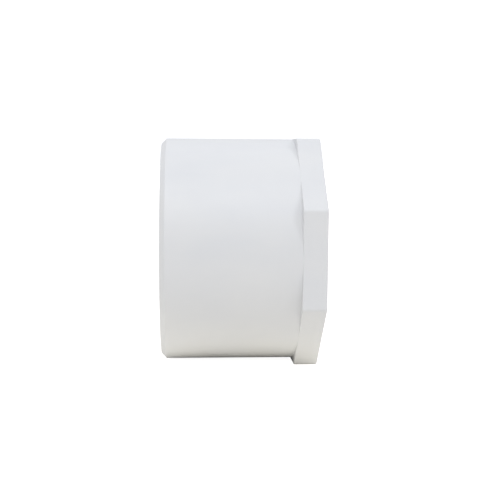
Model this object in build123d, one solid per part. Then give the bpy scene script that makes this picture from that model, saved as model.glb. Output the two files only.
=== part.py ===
from build123d import *

import math
import os

# Female-threaded pipe cap, one inch (G 1, DN 25), moulded in white PVC-U, with a flat sealing gasket.
# Millimetres. The cap lies on one flat of its octagonal head: the pipe axis runs along X with the open
# mouth at -X and the closed head at +X, and the origin is under the middle of the part, at its lowest flat.

# Cap body
outside_diameter = 42.2
across_flats = 42.24
body_length = 29.2
head_thickness = 4.4
rim_chamfer = 0.95
end_wall = 6.2

# Octagonal wrenching head
head_sides = 8
head_corner_radius = 1.0
head_back_round = 0.15
head_face_round = 0.35

# Pipe thread G 1: eleven threads per inch, 55 degree flanks
thread_pitch = 25.4 / 11
thread_major_diameter = 33.249
thread_pitch_diameter = 31.770
thread_crest_diameter = 30.85
thread_flank_angle = 55
thread_end_depth = 18.9
mouth_diameter = 34.2

# Gate recess in the middle of the outer face
gate_recess_diameter = 7.0
gate_recess_depth = 0.5
gate_stub_diameter = 2.4
gate_stub_height = 0.3

# Flat gasket for a one-inch pipe end, and the pocket that it lies in
gasket_outer_diameter = 30.0
gasket_inner_diameter = 21.0
gasket_thickness = 3.0
gasket_edge_round = 0.25
pocket_diameter = 30.4

floor_depth = body_length - end_wall
pocket_depth = floor_depth - gasket_thickness

FROM_BASE = (Align.CENTER, Align.CENTER, Align.MIN)
FROM_TOP = (Align.CENTER, Align.CENTER, Align.MAX)


def skirt():
    """Round skirt from the mouth (z = 0) into the head, with a chamfered rim."""
    length = body_length - head_thickness / 2
    body = Cylinder(outside_diameter / 2, length, align=FROM_BASE)
    rim = body.edges().sort_by(Axis.Z)[0]
    return chamfer(rim, rim_chamfer)


def head():
    """Octagonal head flush with the skirt on its flats, proud of it at its corners."""
    prism = extrude(
        Plane.XY.offset(body_length - head_thickness)
        * RegularPolygon(across_flats / 2, head_sides, major_radius=False, rotation=180 / head_sides),
        head_thickness,
    )
    prism = fillet(prism.edges().filter_by(Axis.Z), head_corner_radius)
    prism = fillet(prism.faces().sort_by(Axis.Z)[0].edges(), head_back_round)
    return fillet(prism.faces().sort_by(Axis.Z)[-1].edges(), head_face_round)


def bore():
    """Bore at the thread's crests, with a lead-in cone at the mouth and the gasket's pocket at its end."""
    crest_radius = thread_crest_diameter / 2
    lead_in = (mouth_diameter - thread_crest_diameter) / 2
    cone = Cone(mouth_diameter / 2, crest_radius, lead_in, align=FROM_BASE)
    hole = Cylinder(crest_radius, pocket_depth, align=FROM_BASE)
    pocket = Cylinder(pocket_diameter / 2, floor_depth, align=FROM_BASE)
    return cone + hole + pocket


def thread_groove():
    """Helical groove between the crests, from outside the mouth to the last full turn."""
    major_radius = thread_major_diameter / 2
    pitch_radius = thread_pitch_diameter / 2
    crest_radius = thread_crest_diameter / 2
    slope = math.tan(math.radians(thread_flank_angle / 2))
    overlap = 0.2
    mouth_half = thread_pitch / 4 + (pitch_radius - crest_radius + overlap) * slope
    root_half = thread_pitch / 4 - (major_radius - pitch_radius) * slope
    start = -thread_pitch
    profile = Polygon(
        (crest_radius - overlap, start - mouth_half),
        (major_radius, start - root_half),
        (major_radius, start + root_half),
        (crest_radius - overlap, start + mouth_half),
        align=None,
    )
    path = Helix(thread_pitch, thread_end_depth - start, pitch_radius, center=(0, 0, start))
    return sweep(Plane.XZ * profile, path, is_frenet=True)


def gate_recess():
    """Shallow round recess in the outer face, around the stub that the mould gate leaves."""
    recess = Cylinder(gate_recess_diameter / 2, gate_recess_depth, align=FROM_TOP)
    stub = Cylinder(gate_stub_diameter / 2, gate_stub_height, align=FROM_BASE)
    stub = Pos(0, 0, -gate_recess_depth) * stub
    return Pos(0, 0, body_length) * (recess - stub)


def cap_body():
    return skirt() + head() - bore() - thread_groove() - gate_recess()


def sealing_gasket():
    """Flat ring in its pocket on the floor of the bore, where the pipe's end presses on it."""
    disc = Cylinder(gasket_outer_diameter / 2, gasket_thickness, align=FROM_TOP)
    hole = Cylinder(gasket_inner_diameter / 2, gasket_thickness, align=FROM_TOP)
    ring = fillet((disc - hole).edges().filter_by(GeomType.CIRCLE), gasket_edge_round)
    return Pos(0, 0, floor_depth) * ring


def lay_down(shape):
    """From the modelling pose, mouth down at z = 0, to the pose lying on a flat with its mouth at -X."""
    return Pos(-body_length / 2, 0, across_flats / 2) * Rot(0, 90, 0) * shape


os.makedirs("parts", exist_ok=True)
export_step(lay_down(cap_body()), "parts/cap_body.step")
export_step(lay_down(sealing_gasket()), "parts/sealing_gasket.step")
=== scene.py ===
import math

import bpy
from mathutils import Matrix, Vector


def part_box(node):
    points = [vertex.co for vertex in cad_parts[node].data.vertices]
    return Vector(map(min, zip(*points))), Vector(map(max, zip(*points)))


MM = 0.001

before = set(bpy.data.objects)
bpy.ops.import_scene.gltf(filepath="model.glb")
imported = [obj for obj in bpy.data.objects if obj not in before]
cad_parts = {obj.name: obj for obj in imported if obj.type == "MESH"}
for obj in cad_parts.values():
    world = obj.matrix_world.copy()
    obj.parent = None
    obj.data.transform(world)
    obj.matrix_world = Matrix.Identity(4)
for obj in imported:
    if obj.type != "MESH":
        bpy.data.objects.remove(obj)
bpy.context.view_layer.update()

body_low, body_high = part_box("cap_body")
mouth_x = body_low[0]
axis_z = (body_low[2] + body_high[2]) / 2
skirt_radius = 21.1 * MM


class Nodes:
    """A short way to write the node tree of a material or a world."""

    def __init__(self, owner):
        self.owner = owner
        owner.use_nodes = True
        self.tree = owner.node_tree
        self.tree.nodes.clear()

    def add(self, kind, **sockets):
        node = self.tree.nodes.new(kind)
        for key, value in sockets.items():
            self.put(node, key, value)
        return node

    def put(self, node, key, value):
        """Set or link an input. The key is its name, or i and its number, such as i0."""
        numbered = key[0] == "i" and key[1:].isdigit()
        socket = node.inputs[int(key[1:])] if numbered else node.inputs[key]
        if isinstance(value, bpy.types.NodeSocket):
            self.tree.links.new(value, socket)
        else:
            socket.default_value = value

    def math(self, operation, a, b):
        node = self.add("ShaderNodeMath", i0=a, i1=b)
        node.operation = operation
        return node.outputs[0]

    def noise(self, vector, scale, detail):
        node = self.add("ShaderNodeTexNoise", Vector=vector, Scale=scale, Detail=detail)
        return node.outputs["Fac"]

    def remap(self, value, low, high, to_low, to_high, interpolation="LINEAR"):
        node = self.add("ShaderNodeMapRange", i0=value, i1=low, i2=high, i3=to_low, i4=to_high)
        node.clamp = True
        node.interpolation_type = interpolation
        return node.outputs[0]

    def stretch(self, vector, factors):
        node = self.add("ShaderNodeMapping", Vector=vector, Scale=factors)
        return node.outputs[0]

    def blend(self, factor, a, b):
        node = self.add("ShaderNodeMix")
        node.data_type = "RGBA"
        for key, value in (("i0", factor), ("i6", a), ("i7", b)):
            self.put(node, key, value)
        return node.outputs[2]

    def finish(self, shader, output="ShaderNodeOutputMaterial"):
        self.add(output, Surface=shader)
        return self.owner


def moulded_pvc():
    """White plastic, slightly clouded along the pipe's axis, with an uneven satin and a fine grain."""
    n = Nodes(bpy.data.materials.new("moulded_pvc"))
    here = n.add("ShaderNodeTexCoord").outputs["Object"]
    cloud = n.noise(here, 90.0, 3.0)
    flow = n.noise(n.stretch(here, (60.0, 260.0, 260.0)), 1.0, 2.0)
    tone = n.math("ADD", n.math("MULTIPLY", cloud, 0.6), n.math("MULTIPLY", flow, 0.4))
    cool, warm = (0.765, 0.775, 0.785, 1), (0.795, 0.800, 0.800, 1)
    colour = n.blend(n.remap(tone, 0.35, 0.65, 0.0, 1.0), cool, warm)
    rough = n.remap(n.noise(here, 420.0, 3.0), 0.3, 0.7, 0.36, 0.46)
    grain = n.noise(here, 2600.0, 2.0)
    peel = n.noise(here, 520.0, 2.0)
    height = n.math("ADD", n.math("MULTIPLY", grain, 0.25), peel)
    bump = n.add("ShaderNodeBump", Strength=0.25, Distance=0.00002, Height=height)
    shader = n.add(
        "ShaderNodeBsdfPrincipled",
        **{"Base Color": colour, "Roughness": rough, "IOR": 1.53, "Normal": bump.outputs[0]},
    )
    return n.finish(shader.outputs[0])


def moulded_rubber():
    """Black rubber with a faint grey bloom and a rough grain."""
    n = Nodes(bpy.data.materials.new("moulded_rubber"))
    here = n.add("ShaderNodeTexCoord").outputs["Object"]
    dust = n.noise(here, 380.0, 4.0)
    black, bloom = (0.018, 0.018, 0.019, 1), (0.045, 0.044, 0.042, 1)
    colour = n.blend(n.remap(dust, 0.45, 0.75, 0.0, 1.0), black, bloom)
    rough = n.remap(n.noise(here, 700.0, 3.0), 0.3, 0.7, 0.62, 0.82)
    bump = n.add("ShaderNodeBump", Strength=0.4, Distance=0.00003, Height=n.noise(here, 1800.0, 3.0))
    shader = n.add(
        "ShaderNodeBsdfPrincipled",
        **{"Base Color": colour, "Roughness": rough, "IOR": 1.5, "Normal": bump.outputs[0]},
    )
    return n.finish(shader.outputs[0])


def paint(node, material):
    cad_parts[node].data.materials.clear()
    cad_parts[node].data.materials.append(material)


paint("cap_body", moulded_pvc())
paint("sealing_gasket", moulded_rubber())


def floor():
    """A plain white surface. For the look only, it throws extra light on the part from a band beside it, and
    is lifted to white where it is seen."""
    seen_level, band_level = 0.92, 0.222
    band_starts, band_is_full = 8 * MM, 14 * MM
    band_fades, band_ends = 18 * MM, 29 * MM
    white, warm = (1, 1, 1, 1), (1.06, 1.0, 0.80, 1)
    bpy.ops.mesh.primitive_plane_add(size=6.0)
    plane = bpy.context.object
    plane.name = "floor"
    n = Nodes(bpy.data.materials.new("white_surface"))
    place = n.stretch(n.add("ShaderNodeTexCoord").outputs["Object"], (0.5, 1, 1))
    length = n.add("ShaderNodeVectorMath", i0=place)
    length.operation = "LENGTH"
    away = length.outputs["Value"]
    rise = n.remap(away, band_starts, band_is_full, 0.0, band_level, "SMOOTHSTEP")
    fall = n.remap(away, band_fades, band_ends, 1.0, 0.0, "SMOOTHSTEP")
    glow = n.math("MULTIPLY", rise, fall)
    direct = n.add("ShaderNodeLightPath").outputs["Is Camera Ray"]
    seen = n.math("MULTIPLY", direct, seen_level)
    shader = n.add(
        "ShaderNodeBsdfPrincipled",
        **{
            "Base Color": (0.87, 0.845, 0.80, 1),
            "Roughness": 0.9,
            "Specular IOR Level": 0.0,
            "Emission Color": n.blend(direct, warm, white),
            "Emission Strength": n.math("MAXIMUM", seen, glow),
        },
    )
    plane.data.materials.append(n.finish(shader.outputs[0]))


def softbox(name, direction, distance, size, level):
    """Round softbox aimed at the part. level is the brightness that it alone gives a white card facing it."""
    data = bpy.data.lights.new(name, "AREA")
    data.shape = "DISK"
    data.size = size
    data.energy = level * math.pi**2 * (distance**2 + size**2 / 4)
    data.color = (0.97, 1.0, 1.07)
    lamp = bpy.data.objects.new(name, data)
    bpy.context.collection.objects.link(lamp)
    target = Vector((0, 0, axis_z))
    lamp.location = target + Vector(direction).normalized() * distance
    lamp.rotation_mode = "QUATERNION"
    lamp.rotation_quaternion = (target - lamp.location).to_track_quat("-Z", "Y")


def surroundings():
    """A pale dome, brighter overhead, behind and on the mouth's side, and white where it is seen."""
    level, overhead, rear, mouth_side, seen_level = 0.317, 0.58, 0.22, 0.26, 1.1
    world = bpy.data.worlds.new("studio")
    bpy.context.scene.world = world
    n = Nodes(world)
    generated = n.add("ShaderNodeTexCoord").outputs["Generated"]
    toward = n.add("ShaderNodeSeparateXYZ", i0=generated).outputs
    up = n.math("MULTIPLY", n.math("MAXIMUM", toward["Z"], 0.0), overhead)
    back = n.math("MULTIPLY", n.math("MAXIMUM", toward["Y"], 0.0), rear)
    side = n.math("MULTIPLY", n.math("MINIMUM", toward["X"], 0.0), -mouth_side)
    dome = n.math("ADD", n.math("ADD", up, back), n.math("ADD", side, level))
    direct = n.add("ShaderNodeLightPath").outputs["Is Camera Ray"]
    strength = n.math("MAXIMUM", dome, n.math("MULTIPLY", direct, seen_level))
    background = n.add("ShaderNodeBackground", Color=(0.99, 1.0, 1.03, 1), Strength=strength)
    n.finish(background.outputs[0], "ShaderNodeOutputWorld")


def lights():
    surroundings()
    softbox("front_box", (0, -0.6, 0.8), distance=0.5, size=0.35, level=0.166)
    softbox("side_light", (0.666, -0.444, 0.600), distance=0.8, size=0.16, level=0.12)


def camera():
    """Camera a little to the mouth's side and a little above, turned slightly about its own line of sight.
    Distances and offsets are in skirt radii."""
    azimuth, elevation, roll = (math.radians(v) for v in (-3.77, 6.04, 0.414))
    distance, past_mouth = 8.321, 0.7938
    offset_right, offset_down = 0.01153, 0.01644
    target = Vector((mouth_x + past_mouth * skirt_radius, 0, axis_z))
    back = Vector(
        (
            math.sin(azimuth) * math.cos(elevation),
            -math.cos(azimuth) * math.cos(elevation),
            math.sin(elevation),
        )
    )
    right = (-back).cross(Vector((0, 0, 1))).normalized()
    up = right.cross(-back)
    right, up = (
        right * math.cos(roll) + up * math.sin(roll),
        -right * math.sin(roll) + up * math.cos(roll),
    )
    data = bpy.data.cameras.new("camera")
    data.sensor_width = 36.0
    data.lens = 64.93
    data.clip_start, data.clip_end = 0.01, 20.0
    cam = bpy.data.objects.new("camera", data)
    bpy.context.collection.objects.link(cam)
    place = target + (back * distance + right * offset_right - up * offset_down) * skirt_radius
    cam.matrix_world = Matrix.Translation(place) @ Matrix((right, up, back)).transposed().to_4x4()
    bpy.context.scene.camera = cam


floor()
lights()
camera()
bpy.context.scene.view_settings.view_transform = "Standard"
